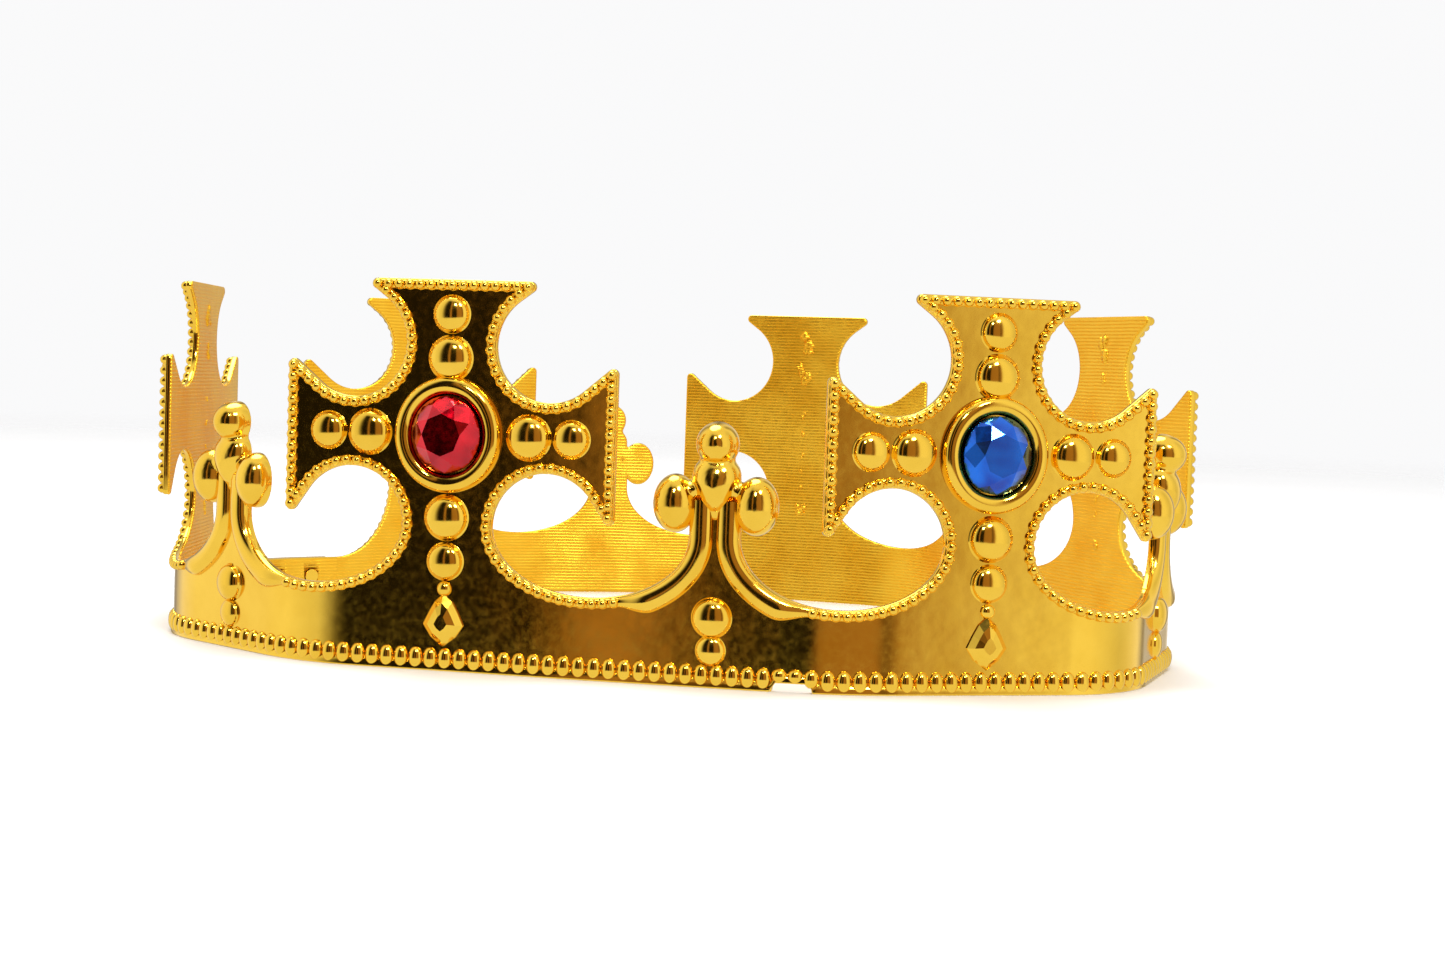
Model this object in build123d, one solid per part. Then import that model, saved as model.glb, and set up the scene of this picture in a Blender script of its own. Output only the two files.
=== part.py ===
"""A toy king's crown: a flat-moulded gold strip bent into an oval ring, with glued gems.

The frame is in millimetres. +Z is up, the crown stands on z = 0, and its front faces -Y.
The wall follows a plan line made of straight stretches (behind each cross and fleur) and arcs.
That line is the inner face of the wall. Seen from above it runs counter-clockwise, so the
outer face is on its right.
"""
from build123d import *
import math
import os

# ---- Driving dimensions: the moulded strip -------------------------------------------------
WALL = 1.3                  # thickness of the sheet
PITCH = 92.0                # from one cross to the next, along the strip
CROSS_FLAT = 15.0           # half length of the straight stretch behind a cross
FLEUR_FLAT = 11.0           # half length of the straight stretch behind a fleur
BAND_TOP = 17.0             # where the crosses and fleurs stand on the headband
FIRST_HEADING = -88.0       # direction of the strip at the first cross, in degrees from +X
# Bend of the strip, in degrees, at each of the ten loops between a cross and a fleur
BENDS = (45, 32, 2, 24, 54, 46, 7, 40, 32, 23)
CLOSURE_ARC_RUN = 17.0      # tangent length of the bend in the closure

# ---- Driving dimensions: the raised relief -------------------------------------------------
BORDER_WIDTH = 2.3          # beaded border round the crosses and loops
BORDER_RISE = 1.15
RIM_HEIGHT = 3.6            # beaded rim along the bottom of the headband
RIM_RISE = 1.0
NOTCH_WIDTH = 6.2           # moulding notch in the bottom edge, beside the front fleur
NOTCH_DEPTH = 1.5
NOTCH_OFFSET = 13.6

# ---- Driving dimensions: crosses and loops -------------------------------------------------
CROSS_TOP = 66.0
CROSS_MID = 40.0            # height of the gem's centre
ARM_REACH = 29.0            # from the middle line to the end of an arm
ARM_RISE = 13.0             # upper corner of an arm's end, above the gem's centre
ARM_DROP = 16.0             # lower corner of an arm's end, below it
TOP_HALF = 16.2             # half width of the top edge, before its corners are rounded
BAY_OFFSET_U = 17.2         # centre of a round bay between two arms, from the middle line
BAY_OFFSET_Z = 15.2         # and above or below the gem's centre
BAY_RADIUS = 9.3
LOOP_CENTRE_U = 24.8        # middle of a loop, from the cross's middle line
LOOP_HALF_WIDTH = 16.9
LOOP_DEPTH = 11.0           # from the loop's widest line down to its lowest point
CORNER_RADIUS = 0.9

# ---- Driving dimensions: fleurs ------------------------------------------------------------
FLEUR_TOP = 44.0
BULB_RADIUS = 3.6
PETAL_HALF_WIDTH = 4.4
PETAL_HALF_HEIGHT = 5.4
PETAL_MID = 34.0
PETAL_CREST = 34.4          # height of the petal's fullest place
CURL_RADIUS = 3.0
CURL_REACH = 7.5
CURL_MID = 28.3
SHOULDER_RADIUS = 3.8
SHOULDER_REACH = 6.6
SHOULDER_MID = 31.2
COLLAR_HALF_WIDTH = 4.9
COLLAR_LOW = 27.2
COLLAR_HIGH = 30.2

# ---- Driving dimensions: gems, studs and bosses --------------------------------------------
GEM_RADII = (6.0, 6.5)
GEM_HEIGHT = 4.0
GEM_GIRDLE = 1.4
GEM_TABLE_SCALE = 0.55
GLUE_THICKNESS = 0.3
GLUE_SCALE = 0.8
COLLAR_WIDTH = 3.2          # smooth collar round a gem
COLLAR_RISE = 2.4
COLLAR_GAP = 0.1
COLLAR_FILLET = 1.28        # rounding of the collar's two upper edges
LARGE_STUD = (3.6, 2.2)     # radius and rise of a round stud
SMALL_STUD = (3.0, 1.8)
STUD_STEPS = (14.0, 21.4)   # distance of the two studs of an arm from the gem's centre
TOP_STUD_STEPS = (12.8, 20.2)
BOSS_HALF_WIDTH = 3.5
BOSS_LOW = 4.6
BOSS_HIGH = 14.6
BOSS_RISE = 1.8
BOSS_TAPER = 30             # slope of the boss's flanks, in degrees from upright
BAND_STUD = (3.2, 2.0)
BAND_STUD_HEIGHT = 11.6
DROP_STUD = (2.4, 1.3)
DROP_STUD_HEIGHT = 6.2

# ---- Driving dimensions: the adjustable closure --------------------------------------------
STRAP_TOP = 9.0
CLOSURE_CURVE_U = 20.5      # where the strap's top edge becomes straight, from the cross
CLOSURE_CURVE_HALF_WIDTH = 12.6
LAP_GAP = 0.15              # between the strap and the tab outside it
STEP_LENGTH = 3.0           # joggle that carries the tab outwards
STRAP_END_GAP = 1.0
HOLE_RADIUS = 1.6
HOLE_PITCH = 8.0
HOLE_COUNT = 3
FIRST_HOLE = 6.0            # from the strap's root
STRAP_MID = 5.0
PEG_RADIUS = 1.3
PEG_HEAD_RADIUS = 1.5
PEG_HEAD = 0.3
PEG_COUNT = 2
TAB_OVERRUN = 4.0           # tab beyond its last peg

# ---- Working lengths -----------------------------------------------------------------------
CUT_REACH = 8               # cutters run this far to both sides of the inner face
SAME_PLACE = 1e-6           # lengths below this count as nothing
EDGE_SEARCH = 0.01          # how closely an edge has to lie on a corner line

CROSS_NAMES = ("left", "front_left", "front_right", "right", "back", "back_left")
FLEUR_NAMES = ("front_left", "front", "right", "back_right", "back")

# ---- Worked out from the driving dimensions ------------------------------------------------
HALF_PITCH = PITCH / 2
BEND_LENGTH = HALF_PITCH - CROSS_FLAT - FLEUR_FLAT
LOOP_MID = CROSS_MID - BAY_OFFSET_Z
STRIP_LENGTH = PITCH * (len(CROSS_NAMES) - 1)


def direction(heading):
    """Unit vector along a heading in degrees."""
    return Vector(math.cos(math.radians(heading)), math.sin(math.radians(heading)), 0)


def outward(heading):
    """Unit vector to the right of a heading, which is out of the ring."""
    return direction(heading - 90)


class PlanLine:
    """The plan line of the wall, as (length, bend) pieces from the first cross onwards."""

    def __init__(self, start, heading, pieces):
        self.pieces = []
        at = 0.0
        for length, bend in pieces:
            self.pieces.append((at, length, bend, start, heading))
            start, heading = self.advance(start, heading, length, bend, length)
            at += length
        self.end = start
        self.end_heading = heading

    @staticmethod
    def advance(start, heading, length, bend, run):
        """Point and heading after a run along one piece."""
        if bend == 0:
            return start + direction(heading) * run, heading
        radius = length / math.radians(bend)
        turned = bend * run / length
        centre = start - outward(heading) * radius
        return centre + outward(heading + turned) * radius, heading + turned

    def at(self, s):
        """Point and heading at distance s; straight on before the start and after the end."""
        for begin, length, bend, start, heading in self.pieces:
            if s < begin + length:
                break
        run = s - begin
        if run < 0:
            return start + direction(heading) * run, heading
        return self.advance(start, heading, length, bend, run)

    def breaks(self, low, high):
        """Ends of the pieces between two distances, with those distances themselves."""
        inner = [begin for begin, *_ in self.pieces if low + SAME_PLACE < begin < high - SAME_PLACE]
        return [low] + inner + [high]

    def side(self, low, high, offset):
        """Edges of the line offset outwards, between two distances."""
        edges = []
        marks = self.breaks(low, high)
        for a, b in zip(marks, marks[1:]):
            points = []
            for s in (a, (a + b) / 2, b):
                point, heading = self.at(s)
                points.append(point + outward(heading) * offset)
            chord_middle = (points[0] + points[2]) / 2
            if (points[1] - chord_middle).length < SAME_PLACE:
                edges.append(Edge.make_line(points[0], points[2]))
            else:
                edges.append(Edge.make_three_point_arc(*points))
        return edges

    def wall(self, low, high, inner, outer, bottom, top):
        """Upright wall between two distances, two offsets and two heights."""
        near = self.side(low, high, inner)
        far = self.side(low, high, outer)
        ends = [Edge.make_line(near[0] @ 0, far[0] @ 0), Edge.make_line(near[-1] @ 1, far[-1] @ 1)]
        plan = Face(Wire(near + far + ends))
        return Solid.extrude(plan.moved(Location((0, 0, bottom))), Vector(0, 0, top - bottom))

    def plane(self, s):
        """Plane on the inner face: x along the strip, y up, z outwards."""
        point, heading = self.at(s)
        return Plane(origin=point, x_dir=direction(heading), z_dir=outward(heading))


def ring_pieces():
    """Straight stretches and bends from the first cross to the last one."""
    pieces = [(CROSS_FLAT, 0)]
    for number, bend in enumerate(BENDS):
        pieces.append((BEND_LENGTH, bend))
        flat = FLEUR_FLAT if number % 2 == 0 else CROSS_FLAT
        last = number == len(BENDS) - 1
        pieces.append((flat if last else 2 * flat, 0))
    return pieces


def closure_pieces(open_line):
    """Straight, bend, straight: from the last cross round to the first one again."""
    bend = 360 + FIRST_HEADING - open_line.end_heading
    gap = -open_line.end
    along = direction(open_line.end_heading)
    back = direction(FIRST_HEADING) * -1
    cross = along.X * back.Y - along.Y * back.X
    reach = (gap.X * back.Y - gap.Y * back.X) / cross
    meeting = open_line.end + along * reach
    radius = CLOSURE_ARC_RUN / math.tan(math.radians(bend / 2))
    arc_length = radius * math.radians(bend)
    return [
        (reach - CLOSURE_ARC_RUN, 0),
        (arc_length, bend),
        (meeting.length - CLOSURE_ARC_RUN, 0),
    ]


def tangent_point(corner, centre, radius, side):
    """Where a straight flare from a corner meets a round bay. side is +1 or -1."""
    dx = corner[0] - centre[0]
    dz = corner[1] - centre[1]
    angle = math.atan2(dz, dx) + side * math.acos(radius / math.hypot(dx, dz))
    return (centre[0] + radius * math.cos(angle), centre[1] + radius * math.sin(angle))


def round_bay_edge(start, end, centre, radius):
    """Arc of a round bay from one point to another, by its nearest point to the gem."""
    middle = ((start[0] + end[0]) / 2 - centre[0], (start[1] + end[1]) / 2 - centre[1])
    scale = radius / math.hypot(*middle)
    return ThreePointArc(start, (centre[0] + middle[0] * scale, centre[1] + middle[1] * scale), end)


def two_sided(right, left):
    """Outline from its right side and from its left side, which is drawn on the right too."""
    return [*right, *[edge.mirror(Plane.YZ) for edge in left]]


def loop_ellipse(margin=0.0, centre_u=LOOP_CENTRE_U, half_width=LOOP_HALF_WIDTH):
    """Lower half of a loop, as an ellipse on the strip."""
    return Pos(centre_u, LOOP_MID) * Ellipse(half_width + margin, LOOP_DEPTH + margin)


def curve_edge_u(centre_u, half_width, depth, z):
    """Distance of a curve's near edge from a plate's middle line, at one height."""
    drop = (LOOP_MID - z) / depth
    return centre_u - half_width * math.sqrt(1 - drop ** 2)


def curve_flank(centre_u, half_width=LOOP_HALF_WIDTH, depth=LOOP_DEPTH):
    """Edge of a plate along a curve, from the headband's top to the curve's widest line."""
    heights = (BAND_TOP, (BAND_TOP + LOOP_MID) / 2, LOOP_MID)
    return ThreePointArc(*[(curve_edge_u(centre_u, half_width, depth, z), z) for z in heights])


def closure_flank():
    """Edge of an end cross on its closure side."""
    return curve_flank(CLOSURE_CURVE_U, CLOSURE_CURVE_HALF_WIDTH, LOOP_MID - STRAP_TOP)


def cross_half(flank):
    """Right half of a cross pattee's outline above the headband."""
    low_bay = (BAY_OFFSET_U, LOOP_MID)
    high_bay = (BAY_OFFSET_U, CROSS_MID + BAY_OFFSET_Z)
    neck = BAY_OFFSET_U - BAY_RADIUS
    arm_low = (ARM_REACH, CROSS_MID - ARM_DROP)
    arm_high = (ARM_REACH, CROSS_MID + ARM_RISE)
    top = (TOP_HALF, CROSS_TOP)
    low_touch = tangent_point(arm_low, low_bay, BAY_RADIUS, +1)
    high_touch = tangent_point(arm_high, high_bay, BAY_RADIUS, -1)
    top_touch = tangent_point(top, high_bay, BAY_RADIUS, +1)
    return [
        Line((0, BAND_TOP), flank @ 0),
        flank,
        round_bay_edge((neck, LOOP_MID), low_touch, low_bay, BAY_RADIUS),
        Line(low_touch, arm_low),
        Line(arm_low, arm_high),
        Line(arm_high, high_touch),
        round_bay_edge(high_touch, top_touch, high_bay, BAY_RADIUS),
        Line(top_touch, top),
        Line(top, (0, CROSS_TOP)),
    ]


def stem_sketch(loop_reach):
    """Stem of a fleur, from the headband to its collar."""
    flank = curve_flank(loop_reach)
    neck = (flank @ 1).X
    edges = [
        Line((0, BAND_TOP), flank @ 0),
        flank,
        Line((neck, LOOP_MID), (neck, COLLAR_HIGH)),
        Line((neck, COLLAR_HIGH), (0, COLLAR_HIGH)),
    ]
    return make_face(two_sided(edges, edges))


def plate_with_border(plane, sketch, below):
    """Sheet of a plate and the raised border along its free edges."""
    sheet = extrude(plane * sketch, WALL)
    inset = offset(sketch + below, -BORDER_WIDTH)
    border = extrude(plane.offset(WALL) * (sketch - inset), BORDER_RISE)
    return sheet + border


def stud(plane, u, z, size):
    """Round stud: the cap of a ball, standing on the sheet."""
    radius, rise = size
    ball = (radius ** 2 + rise ** 2) / (2 * rise)
    centre = plane.offset(WALL + rise - ball)
    keep = Box(4 * ball, 4 * ball, 2 * rise, align=(Align.CENTER, Align.CENTER, Align.MIN))
    slab = plane.offset(WALL) * Pos(u, z, 0) * keep
    return (centre * Pos(u, z, 0) * Sphere(ball)) & slab


def gem_collar(plane):
    """Smooth oval collar that a gem sits in."""
    inner = (GEM_RADII[0] + COLLAR_GAP, GEM_RADII[1] + COLLAR_GAP)
    ring = Ellipse(inner[0] + COLLAR_WIDTH, inner[1] + COLLAR_WIDTH) - Ellipse(*inner)
    solid = extrude(plane.offset(WALL) * Pos(0, CROSS_MID) * ring, COLLAR_RISE)
    top_edges = solid.edges().group_by(lambda e: round((e @ 0 - plane.origin).dot(plane.z_dir), 3))[-1]
    return fillet(top_edges, COLLAR_FILLET)


def round_corners(part, plane):
    """Round the sharp corners of the arms and of the top edge."""
    upright = part.edges().filter_by(lambda e: e.geom_type == GeomType.LINE)
    upright = [e for e in upright if abs((e % 0.5).dot(plane.z_dir)) > 1 - EDGE_SEARCH]
    corners = []
    for edge in upright:
        local = plane.to_local_coords(edge @ 0.5)
        on_arm = abs(abs(local.X) - ARM_REACH) < EDGE_SEARCH
        on_top = abs(local.Y - CROSS_TOP) < EDGE_SEARCH
        if on_arm or on_top:
            corners.append(edge)
    return fillet(corners, CORNER_RADIUS)


def continuation(left_foot, right_foot):
    """Patch below a plate's foot, so that no border runs across the foot."""
    patch = Rectangle(left_foot + right_foot, 2 * BORDER_WIDTH)
    return Pos((right_foot - left_foot) / 2, BAND_TOP - BORDER_WIDTH) * patch


def cross(line, number):
    """One cross pattee with its border, gem collar and studs."""
    plane = line.plane(number * PITCH)
    left = closure_flank() if number == 0 else curve_flank(LOOP_CENTRE_U)
    right = closure_flank() if number == len(CROSS_NAMES) - 1 else curve_flank(LOOP_CENTRE_U)
    sketch = make_face(two_sided(cross_half(right), cross_half(left)))
    plate = plate_with_border(plane, sketch, continuation((left @ 0).X, (right @ 0).X))
    part = round_corners(plate, plane)
    part += gem_collar(plane)
    for side in (-1, 1):
        for step, size in zip(STUD_STEPS, (LARGE_STUD, SMALL_STUD)):
            part += stud(plane, side * step, CROSS_MID, size)
    for step, size in zip(TOP_STUD_STEPS, (LARGE_STUD, SMALL_STUD)):
        part += stud(plane, 0, CROSS_MID + step, size)
    for step, size in zip(STUD_STEPS, (LARGE_STUD, SMALL_STUD)):
        part += stud(plane, 0, CROSS_MID - step, size)
    return part


def fleur_sketch():
    """Fleur-de-lis above its stem: bulb, middle petal, collar and two curled petals."""
    sketch = Pos(0, PETAL_MID) * Ellipse(PETAL_HALF_WIDTH, PETAL_HALF_HEIGHT)
    sketch += Pos(0, FLEUR_TOP - BULB_RADIUS) * Circle(BULB_RADIUS)
    collar_mid = (COLLAR_LOW + COLLAR_HIGH) / 2
    sketch += Pos(0, collar_mid) * Rectangle(2 * COLLAR_HALF_WIDTH, COLLAR_HIGH - COLLAR_LOW)
    for side in (-1, 1):
        sketch += Pos(side * CURL_REACH, CURL_MID) * Circle(CURL_RADIUS)
        sketch += Pos(side * SHOULDER_REACH, SHOULDER_MID) * Circle(SHOULDER_RADIUS)
    return sketch


def fleur(line, s):
    """One fleur-de-lis with its ribs and swelling petals."""
    plane = line.plane(s)
    loop_reach = HALF_PITCH - LOOP_CENTRE_U
    foot = curve_edge_u(loop_reach, LOOP_HALF_WIDTH, LOOP_DEPTH, BAND_TOP)
    part = plate_with_border(plane, stem_sketch(loop_reach), continuation(foot, foot))
    part += extrude(plane * fleur_sketch(), WALL + BORDER_RISE)
    part += stud(plane, 0, FLEUR_TOP - BULB_RADIUS, (BULB_RADIUS, LARGE_STUD[1]))
    part += stud(plane, 0, PETAL_CREST, (PETAL_HALF_WIDTH, LARGE_STUD[1]))
    for side in (-1, 1):
        part += stud(plane, side * CURL_REACH, CURL_MID, (CURL_RADIUS, SMALL_STUD[1]))
        part += stud(plane, side * SHOULDER_REACH, SHOULDER_MID, (SHOULDER_RADIUS, LARGE_STUD[1]))
    return part


def boss(plane):
    """Small pointed boss on the headband under a cross."""
    middle = (BOSS_LOW + BOSS_HIGH) / 2
    half_height = (BOSS_HIGH - BOSS_LOW) / 2
    outline = Polygon(
        (0, -half_height),
        (BOSS_HALF_WIDTH, 0),
        (0, half_height),
        (-BOSS_HALF_WIDTH, 0),
        align=None,
    )
    root = plane.offset(WALL / 2) * Pos(0, middle)
    return extrude(root * outline, BOSS_RISE + WALL / 2, taper=BOSS_TAPER)


def headband(line):
    """Continuous ring of the headband with its rim, loop borders, studs and bosses."""
    low = -CLOSURE_CURVE_U
    high = STRIP_LENGTH + CLOSURE_CURVE_U
    band = line.wall(low, high, 0, WALL, 0, BAND_TOP)
    band += line.wall(low, high, WALL, WALL + RIM_RISE, 0, RIM_HEIGHT)
    relief = line.wall(low, high, WALL, WALL + BORDER_RISE, RIM_HEIGHT, BAND_TOP)
    borders = None
    openings = None
    for number in range(len(BENDS)):
        cross_number = (number + 1) // 2
        side = 1 if number % 2 == 0 else -1
        plane = line.plane(cross_number * PITCH + side * LOOP_CENTRE_U)
        hole = extrude(plane * loop_ellipse(centre_u=0), CUT_REACH, both=True)
        rim = extrude(plane * loop_ellipse(BORDER_WIDTH, centre_u=0), CUT_REACH, both=True)
        openings = hole if openings is None else openings + hole
        borders = rim if borders is None else borders + rim
    closure_drop = LOOP_MID - STRAP_TOP
    for station, side in ((0, -1), (STRIP_LENGTH, 1)):
        plane = line.plane(station + side * CLOSURE_CURVE_U)
        curve = Ellipse(CLOSURE_CURVE_HALF_WIDTH, closure_drop)
        rim_curve = Ellipse(CLOSURE_CURVE_HALF_WIDTH + BORDER_WIDTH, closure_drop + BORDER_WIDTH)
        openings += extrude(plane * Pos(0, LOOP_MID) * curve, CUT_REACH, both=True)
        borders += extrude(plane * Pos(0, LOOP_MID) * rim_curve, CUT_REACH, both=True)
    band += relief & borders
    band -= openings
    for number in range(len(CROSS_NAMES)):
        band += boss(line.plane(number * PITCH))
    for number in range(len(FLEUR_NAMES)):
        plane = line.plane((number + 0.5) * PITCH)
        band += stud(plane, 0, BAND_STUD_HEIGHT, BAND_STUD)
        band += stud(plane, 0, DROP_STUD_HEIGHT, DROP_STUD)
    front = line.plane(1.5 * PITCH + NOTCH_OFFSET)
    notch = Rectangle(NOTCH_WIDTH, 2 * NOTCH_DEPTH)
    return band - extrude(front * notch, CUT_REACH, both=True)


def closure_strap(line, start, end):
    """Strap with a row of holes, inside the tab."""
    strap = line.wall(start, end, 0, WALL, 0, STRAP_TOP)
    for number in range(HOLE_COUNT):
        plane = line.plane(start + FIRST_HOLE + number * HOLE_PITCH)
        strap -= extrude(plane * Pos(0, STRAP_MID) * Circle(HOLE_RADIUS), CUT_REACH, both=True)
    return strap


def closure_tab(line, first_peg, start, end):
    """Tab outside the strap, carried outwards by a joggle, with two pegs through the strap."""
    inner = WALL + LAP_GAP
    tab = line.wall(start, end, inner, inner + WALL, 0, STRAP_TOP)
    tab += line.wall(end - STEP_LENGTH, end, 0, inner + WALL, 0, STRAP_TOP)
    for number in range(PEG_COUNT):
        plane = line.plane(first_peg + number * HOLE_PITCH)
        shank = extrude(plane * Pos(0, STRAP_MID) * Circle(PEG_RADIUS), inner + WALL / 2)
        head = extrude(plane * Pos(0, STRAP_MID) * Circle(PEG_HEAD_RADIUS), -PEG_HEAD)
        tab += shank
        tab += head
    return tab


def gem(plane):
    """Oval gem: a straight girdle and a tapering crown with a flat table."""
    base = plane.offset(WALL + GLUE_THICKNESS) * Pos(0, CROSS_MID) * Ellipse(*GEM_RADII)
    girdle = extrude(base, GEM_GIRDLE)
    low = plane.offset(WALL + GLUE_THICKNESS + GEM_GIRDLE) * Pos(0, CROSS_MID)
    high = plane.offset(WALL + GLUE_THICKNESS + GEM_HEIGHT) * Pos(0, CROSS_MID)
    table = [radius * GEM_TABLE_SCALE for radius in GEM_RADII]
    return girdle + loft([low * Ellipse(*GEM_RADII), high * Ellipse(*table)])


def adhesive(plane):
    """Thin dab of adhesive under a gem."""
    spot = Ellipse(GEM_RADII[0] * GLUE_SCALE, GEM_RADII[1] * GLUE_SCALE)
    return extrude(plane.offset(WALL) * Pos(0, CROSS_MID) * spot, GLUE_THICKNESS)


class ShiftedLine:
    """A plan line whose distances are counted from the first cross."""

    def __init__(self, line, lead):
        self.line = line
        self.lead = lead

    def plane(self, s):
        return self.line.plane(s + self.lead)

    def wall(self, low, high, *rest):
        return self.line.wall(low + self.lead, high + self.lead, *rest)


def build():
    """All nodes by name, in the plan line's own position."""
    open_line = PlanLine(Vector(0, 0, 0), FIRST_HEADING, ring_pieces())
    closure = closure_pieces(open_line)
    lead = sum(length for length, _ in closure)
    # Begun at the last cross, so that the wall can reach back behind the first one
    whole = PlanLine(open_line.end, open_line.end_heading, closure + ring_pieces() + closure)
    line = ShiftedLine(whole, lead)

    nodes = {"headband": headband(line)}
    for number, name in enumerate(CROSS_NAMES):
        nodes["cross_" + name] = cross(line, number)
        nodes["gem_" + name] = gem(line.plane(number * PITCH))
        nodes["adhesive_" + name] = adhesive(line.plane(number * PITCH))
    for number, name in enumerate(FLEUR_NAMES):
        nodes["fleur_" + name] = fleur(line, (number + 0.5) * PITCH)

    strap_root = STRIP_LENGTH + CLOSURE_CURVE_U
    tab_root = STRIP_LENGTH + lead - CLOSURE_CURVE_U
    strap_end = tab_root - STEP_LENGTH - STRAP_END_GAP
    first_peg = strap_root + FIRST_HOLE
    nodes["closure_strap"] = closure_strap(line, strap_root, strap_end)
    nodes["closure_tab"] = closure_tab(line, first_peg, first_peg - TAB_OVERRUN, tab_root)
    return nodes


def main():
    os.makedirs("parts", exist_ok=True)
    nodes = build()
    box = Compound(children=[Compound(part.solids()) for part in nodes.values()]).bounding_box()
    centre = box.center()
    to_origin = Location((-centre.X, -centre.Y, 0))
    print("overall size", box.size, "moved by", to_origin.position)
    for name, part in nodes.items():
        solids = part.solids()
        shape = solids[0] if len(solids) == 1 else Compound(solids)
        export_step(shape.moved(to_origin), f"parts/{name}.step")


main()
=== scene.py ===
"""Looks of a toy king's crown: vacuum-metallised gold moulding with six foiled acrylic gems.

Shapes are drawn on the developed strip, in millimetres: u or s along the strip, z up and t out
from its inner face. They are then carried onto the plan line of the wall, in metres.
"""

import math
import random

import bmesh
import bpy
from mathutils import Matrix, Vector


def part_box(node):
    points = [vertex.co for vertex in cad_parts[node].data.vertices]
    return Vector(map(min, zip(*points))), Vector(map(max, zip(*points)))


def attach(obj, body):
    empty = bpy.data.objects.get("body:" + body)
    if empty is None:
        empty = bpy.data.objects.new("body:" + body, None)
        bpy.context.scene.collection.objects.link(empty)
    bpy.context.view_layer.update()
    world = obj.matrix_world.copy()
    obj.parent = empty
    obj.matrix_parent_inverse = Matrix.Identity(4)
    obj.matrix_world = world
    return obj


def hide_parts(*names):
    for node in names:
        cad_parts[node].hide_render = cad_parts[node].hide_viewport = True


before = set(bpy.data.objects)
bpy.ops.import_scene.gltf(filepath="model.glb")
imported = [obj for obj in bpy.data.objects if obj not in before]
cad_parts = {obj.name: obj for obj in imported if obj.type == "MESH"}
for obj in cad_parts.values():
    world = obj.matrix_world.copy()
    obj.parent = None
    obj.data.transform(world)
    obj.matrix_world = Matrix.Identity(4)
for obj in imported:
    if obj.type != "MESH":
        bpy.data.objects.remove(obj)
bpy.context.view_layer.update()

MM = 0.001

# ---- The strip, as in the CAD source ----
WALL = 1.3
PITCH = 92.0
CROSS_FLAT = 15.0
FLEUR_FLAT = 11.0
BAND_TOP = 17.0
FIRST_HEADING = -88.0
BENDS = (45, 32, 2, 24, 54, 46, 7, 40, 32, 23)
CLOSURE_ARC_RUN = 17.0
CROSS_NAMES = ("left", "front_left", "front_right", "right", "back", "back_left")
FLEUR_NAMES = ("front_left", "front", "right", "back_right", "back")
GEM_COLOURS = ("blue", "red", "blue", "red", "blue", "red")

CROSS_TOP = 66.0
CROSS_MID = 40.0
ARM_REACH = 29.0
ARM_RISE = 13.0
ARM_DROP = 16.0
TOP_HALF = 16.2
BAY_U = 17.2
BAY_Z = 15.2
BAY_RADIUS = 9.3
LOOP_U = 24.8
LOOP_HALF_WIDTH = 16.9
LOOP_DEPTH = 11.0
LOOP_MID = CROSS_MID - BAY_Z
CORNER_RADIUS = 0.9
NOTCH_HALF_WIDTH = 3.1
NOTCH_DEPTH = 1.5
NOTCH_MID = 1.5 * PITCH + 13.6
LAST_CROSS = PITCH * (len(CROSS_NAMES) - 1)

STRAP_TOP = 9.0
CLOSURE_CURVE_U = 20.5
CLOSURE_CURVE_AT = LAST_CROSS + CLOSURE_CURVE_U
CLOSURE_CURVE_HALF_WIDTH = 12.6
LAP_GAP = 0.15
STEP_LENGTH = 3.0
STRAP_END_GAP = 1.0
HOLE_RADIUS = 1.6
HOLE_PITCH = 8.0
HOLE_COUNT = 3
FIRST_HOLE = 6.0
STRAP_MID = 5.0             # height of the holes and pegs
PEG_RADIUS = 1.3
PEG_HEAD_RADIUS = 1.5
PEG_HEAD = (-0.3, -0.02)    # heights of a peg's head, under the strap
PEG_ENDS = (-0.1, 0.3)      # a peg runs from inside its head to this far into the tab
PEG_COUNT = 2
TAB_OVERRUN = 4.0
JOGGLE_HASTE = 1.05         # above 1 the tab's step ends a little before the tab's root

GEM_RADII = (6.0, 6.5)
GEM_HEIGHT = 3.99           # a hair less than in the CAD source, to stay inside its box
GEM_GIRDLE = 1.4
GLUE_THICKNESS = 0.3
GLUE_SCALE = 0.8
LARGE_STUD = (3.6, 2.2)     # radius and rise of a round stud
SMALL_STUD = (3.0, 1.8)
STUD_STEPS = (14.0, 21.4)
TOP_STUD_STEPS = (12.8, 20.2)

# ---- Finer shapes of the moulding ----
LEAST_RADIUS = 0.05         # of a corner that the inset has used up
STEP = 0.6                  # spacing of points along arcs
FOOT_STEP = 1.2             # and along the headband's top, below a cross or a fleur
STEM_STEP = 0.7             # and up a fleur's stem
STRAP_STEP = 0.8            # and along the closure
RIM_STEP = 0.5              # and along the foot of the bottom rim
BAND_LEVELS = 6             # bands of faces between the headband's edges
SAME_PLACE = 1e-4           # points closer than this count as one
LEVEL = 1e-6                # heights closer than this count as one
SHARP_ANGLE = 40.0          # edges that turn more than this stay crisp
# Rounded edge of the sheet: distance in from the outline, and height above the inner face
SHEET_EDGE = (
    (0.50, 0.0), (0.25, 0.0), (0.08, 0.08), (0.0, 0.25),
    (0.0, WALL - 0.25), (0.08, WALL - 0.08), (0.25, WALL), (0.50, WALL),
)
EDGE_FINISH = 0.1           # the sheet's edge belongs to its inner face below this height
BEAD_PITCH = 1.9
BEAD_RADIUS = 0.92
BEAD_RISE = 0.94
BEAD_INSET = 0.98           # bead centres, in from the free edge
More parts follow.
